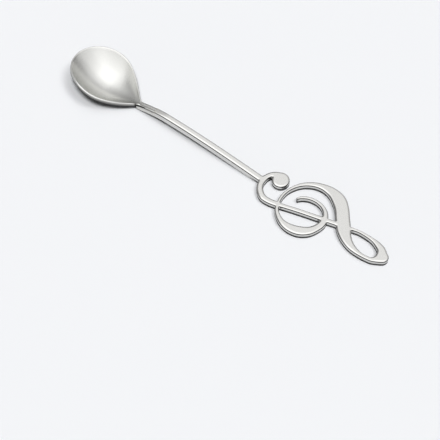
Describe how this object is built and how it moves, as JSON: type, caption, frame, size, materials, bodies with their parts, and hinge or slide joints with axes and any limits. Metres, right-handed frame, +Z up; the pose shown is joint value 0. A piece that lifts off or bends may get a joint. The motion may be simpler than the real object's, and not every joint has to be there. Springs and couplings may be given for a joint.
{
  "type": "teaspoon",
  "caption": "Slim steel teaspoon with a rounded oval bowl that rises to its tip, an arched stem, and a flat openwork treble clef as the end of its handle.",
  "frame": {"origin": "on the table, under the middle of the spoon's length and width", "axes": "+X from the bowl to the clef, +Y across towards the clef's upper bow, +Z up out of the bowl"},
  "size_m": [0.1562, 0.0274, 0.0112],
  "materials": {
    "bowl_steel": "satin",
    "handle_steel": "satin, polished edges",
    "braze_filler": "satin"
  },
  "bodies": {
    "root": {"bowl": "bowl_steel", "handle": "handle_steel", "braze": "braze_filler"}
  },
  "joints": []
}
